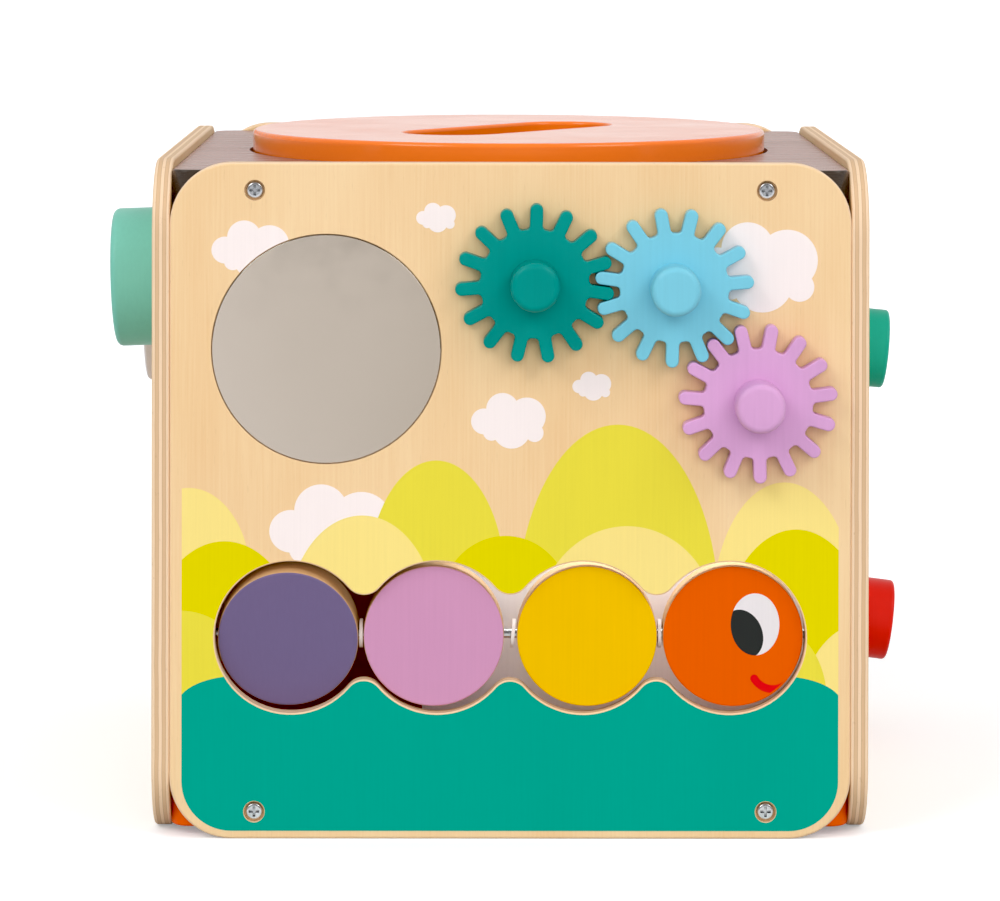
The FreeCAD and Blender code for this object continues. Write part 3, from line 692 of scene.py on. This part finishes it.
def smile_outline():
    """A stroke with a round end, curving from below the eye out past the rim."""
    across, up = SMILE_CENTRE
    count = 20
    outer = []
    inner = []
    for index in range(count + 1):
        turn = math.radians(SMILE_FROM + (SMILE_TO - SMILE_FROM) * index / count)
        x, z = math.cos(turn), math.sin(turn)
        for points, side in ((outer, SMILE_HALF), (inner, -SMILE_HALF)):
            reach = SMILE_RADIUS + side
            points.append((across + reach * x, up + reach * z))
    turn = math.radians(SMILE_FROM)
    tip = (across + SMILE_RADIUS * math.cos(turn), up + SMILE_RADIUS * math.sin(turn))
    cap = []
    for index in range(1, 10):
        angle = turn + math.pi * (1.0 + index / 10.0)
        cap.append((tip[0] + SMILE_HALF * math.cos(angle), tip[1] + SMILE_HALF * math.sin(angle)))
    return outer + inner[::-1] + cap


# ---- studio ----


FLOOR_REACH = 40.0
FLOOR_FRONT = -3.5
FLOOR_GLOW = 0.3
FLOOR_WHITE = (0.95, 0.965, 0.985, 1.0)
FLOOR_GREY = (0.55, 0.55, 0.55, 1.0)
WALL_LIGHT = 0.54  # the room's brightness as it falls on surfaces
WALL_SHINE_FRONT = 0.25  # and as glossy surfaces show it, behind the camera and behind the cube
WALL_SHINE_BACK = 0.9
WALL_SEEN = 1.1  # and as the camera sees it
INSIDE_LIGHT_UP = 0.135
INSIDE_LIGHT_AIM = 0.09
BLACK_LEVEL = 0.018
SUNS = [  # name, azimuth, elevation, strength, spread in degrees, seen in glossy surfaces
    ("left_light", -48.0, 42.0, 0.84, 28.0, True),
    ("right_light", 52.0, 42.0, 0.69, 28.0, True),
    ("front_light", 5.0, 12.0, 0.97, 40.0, False),
    ("back_light", 180.0, 6.0, 0.5, 40.0, False),
]


def floor():
    """White paper. It ends behind the camera, glows a little to the camera, which keeps the
    shadows on it pale, and throws back less light than it seems to."""
    mesh = bpy.data.meshes.new("floor")
    reach = FLOOR_REACH
    corners = [(-reach, FLOOR_FRONT), (reach, FLOOR_FRONT), (reach, reach), (-reach, reach)]
    mesh.from_pydata([(x, y, cad_low.z) for x, y in corners], [], [(0, 1, 2, 3)])
    plane = bpy.data.objects.new("floor", mesh)
    bpy.context.scene.collection.objects.link(plane)
    finish = Finish("floor_paper")
    finish.set(Roughness=0.9, Specular_IOR_Level=0.1)
    rays = finish.tree.nodes.new("ShaderNodeLightPath").outputs
    finish.set(Base_Color=finish.mix(rays["Is Diffuse Ray"], FLOOR_WHITE, FLOOR_GREY))
    glow = finish.compute("MULTIPLY", rays["Is Camera Ray"], FLOOR_GLOW)
    finish.set(Emission_Color=FLOOR_WHITE, Emission_Strength=glow)
    mesh.materials.append(finish.material)


def soft_sun(name, azimuth, elevation, strength, spread, glossy):
    """Soft light from one side: azimuth 0 comes from the front, 90 from the right."""
    data = bpy.data.lights.new(name, "SUN")
    data.energy = strength
    data.angle = math.radians(spread)
    lamp = bpy.data.objects.new(name, data)
    turn, rise = math.radians(azimuth), math.radians(elevation)
    level = math.cos(rise)
    out = Vector((math.sin(turn) * level, -math.cos(turn) * level, math.sin(rise)))
    lamp.rotation_euler = (-out).to_track_quat("-Z", "Y").to_euler()
    lamp.visible_glossy = glossy
    bpy.context.scene.collection.objects.link(lamp)


def room():
    """White walls all round. The camera sees them white, and what glossy surfaces show of them
    is bright behind the cube and dark behind the camera."""
    world = bpy.data.worlds.new("studio")
    world.use_nodes = True
    tree = world.node_tree
    background = tree.nodes["Background"]
    background.inputs["Color"].default_value = (1.0, 1.0, 1.0, 1.0)
    direction = tree.nodes.new("ShaderNodeTexCoord").outputs["Generated"]
    split = tree.nodes.new("ShaderNodeSeparateXYZ")
    shine = tree.nodes.new("ShaderNodeMapRange")
    rays = tree.nodes.new("ShaderNodeLightPath")
    fallen = tree.nodes.new("ShaderNodeMix")
    shown = tree.nodes.new("ShaderNodeMix")
    tree.links.new(direction, split.inputs[0])
    tree.links.new(split.outputs["Y"], shine.inputs["Value"])
    shine.inputs["From Min"].default_value = -0.9
    shine.inputs["From Max"].default_value = 0.9
    shine.inputs["To Min"].default_value = WALL_SHINE_FRONT
    shine.inputs["To Max"].default_value = WALL_SHINE_BACK
    tree.links.new(rays.outputs["Is Glossy Ray"], fallen.inputs[0])
    fallen.inputs[2].default_value = WALL_LIGHT
    tree.links.new(shine.outputs[0], fallen.inputs[3])
    tree.links.new(rays.outputs["Is Camera Ray"], shown.inputs[0])
    tree.links.new(fallen.outputs[0], shown.inputs[2])
    shown.inputs[3].default_value = WALL_SEEN
    tree.links.new(shown.outputs[0], background.inputs["Strength"])
    bpy.context.scene.world = world


def inside_light():
    """A small strip above the worm window, behind the front, that lights the white panel."""
    white = middle("inner_panel")
    data = bpy.data.lights.new("inside_light", "AREA")
    data.shape = "RECTANGLE"
    data.size, data.size_y = 0.15, 0.01
    data.energy = 0.058
    data.color = (0.8, 0.93, 1.0)
    lamp = bpy.data.objects.new("inside_light", data)
    lamp.location = (white.x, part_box("front_panel")[1].y + 0.005, INSIDE_LIGHT_UP)
    aim = Vector((white.x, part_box("inner_panel")[0].y, INSIDE_LIGHT_AIM)) - lamp.location
    lamp.rotation_euler = aim.to_track_quat("-Z", "Y").to_euler()
    bpy.context.scene.collection.objects.link(lamp)


def studio():
    room()
    inside_light()
    for numbers in SUNS:
        soft_sun(*numbers)
    settings = bpy.context.scene.view_settings
    settings.view_transform = "Standard"
    settings.use_curve_mapping = True
    settings.curve_mapping.black_level = (BLACK_LEVEL, BLACK_LEVEL, BLACK_LEVEL)


CAMERA_PLACE = Vector((-0.0121, -1.8285, 0.3942))
CAMERA_PITCH, CAMERA_YAW, CAMERA_ROLL = 0.56, 0.267, -0.107
CAMERA_LENS = 144.8
CAMERA_ASIDE = -0.0013
CAMERA_SHIFT = -0.5147


def camera():
    """A level camera with a falling lens, as a studio camera takes a box with its sides upright.

    The lens shift is driven: it holds only while the camera stands in its own place."""
    data = bpy.data.cameras.new("camera")
    data.lens = CAMERA_LENS
    data.sensor_width = 36.0
    data.shift_x = CAMERA_ASIDE
    eye = bpy.data.objects.new("camera", data)
    eye.location = CAMERA_PLACE
    turns = (90.0 - CAMERA_PITCH, CAMERA_ROLL, -CAMERA_YAW)
    eye.rotation_euler = Euler([math.radians(turn) for turn in turns], "XYZ")
    bpy.context.scene.collection.objects.link(eye)
    bpy.context.scene.camera = eye
    driver = data.driver_add("shift_y").driver
    driver.type = "SCRIPTED"
    for name, kind in (("px", "LOC_X"), ("py", "LOC_Y"), ("pz", "LOC_Z")):
        variable = driver.variables.new()
        variable.name = name
        variable.type = "TRANSFORMS"
        variable.targets[0].id = eye
        variable.targets[0].transform_type = kind
        variable.targets[0].transform_space = "WORLD_SPACE"
    away = " + ".join(
        f"abs({name} - {value:.4f})".replace("- -", "+ ")
        for name, value in zip(("px", "py", "pz"), CAMERA_PLACE)
    )
    driver.expression = f"{CAMERA_SHIFT} if {away} < 0.001 else 0.0"


# ---- scene ----

INKS = {kind: ink(f"ink_{kind}", colour) for kind, colour in PRINT.items()}
INKS["eye"] = ink("ink_eye", srgb(233, 227, 229))
INKS["pupil"] = ink("ink_pupil", srgb(52, 54, 53))
INKS["smile"] = ink("ink_smile", srgb(222, 28, 34))

dress_nodes()
front_print()
head_face()
floor()
studio()
camera()
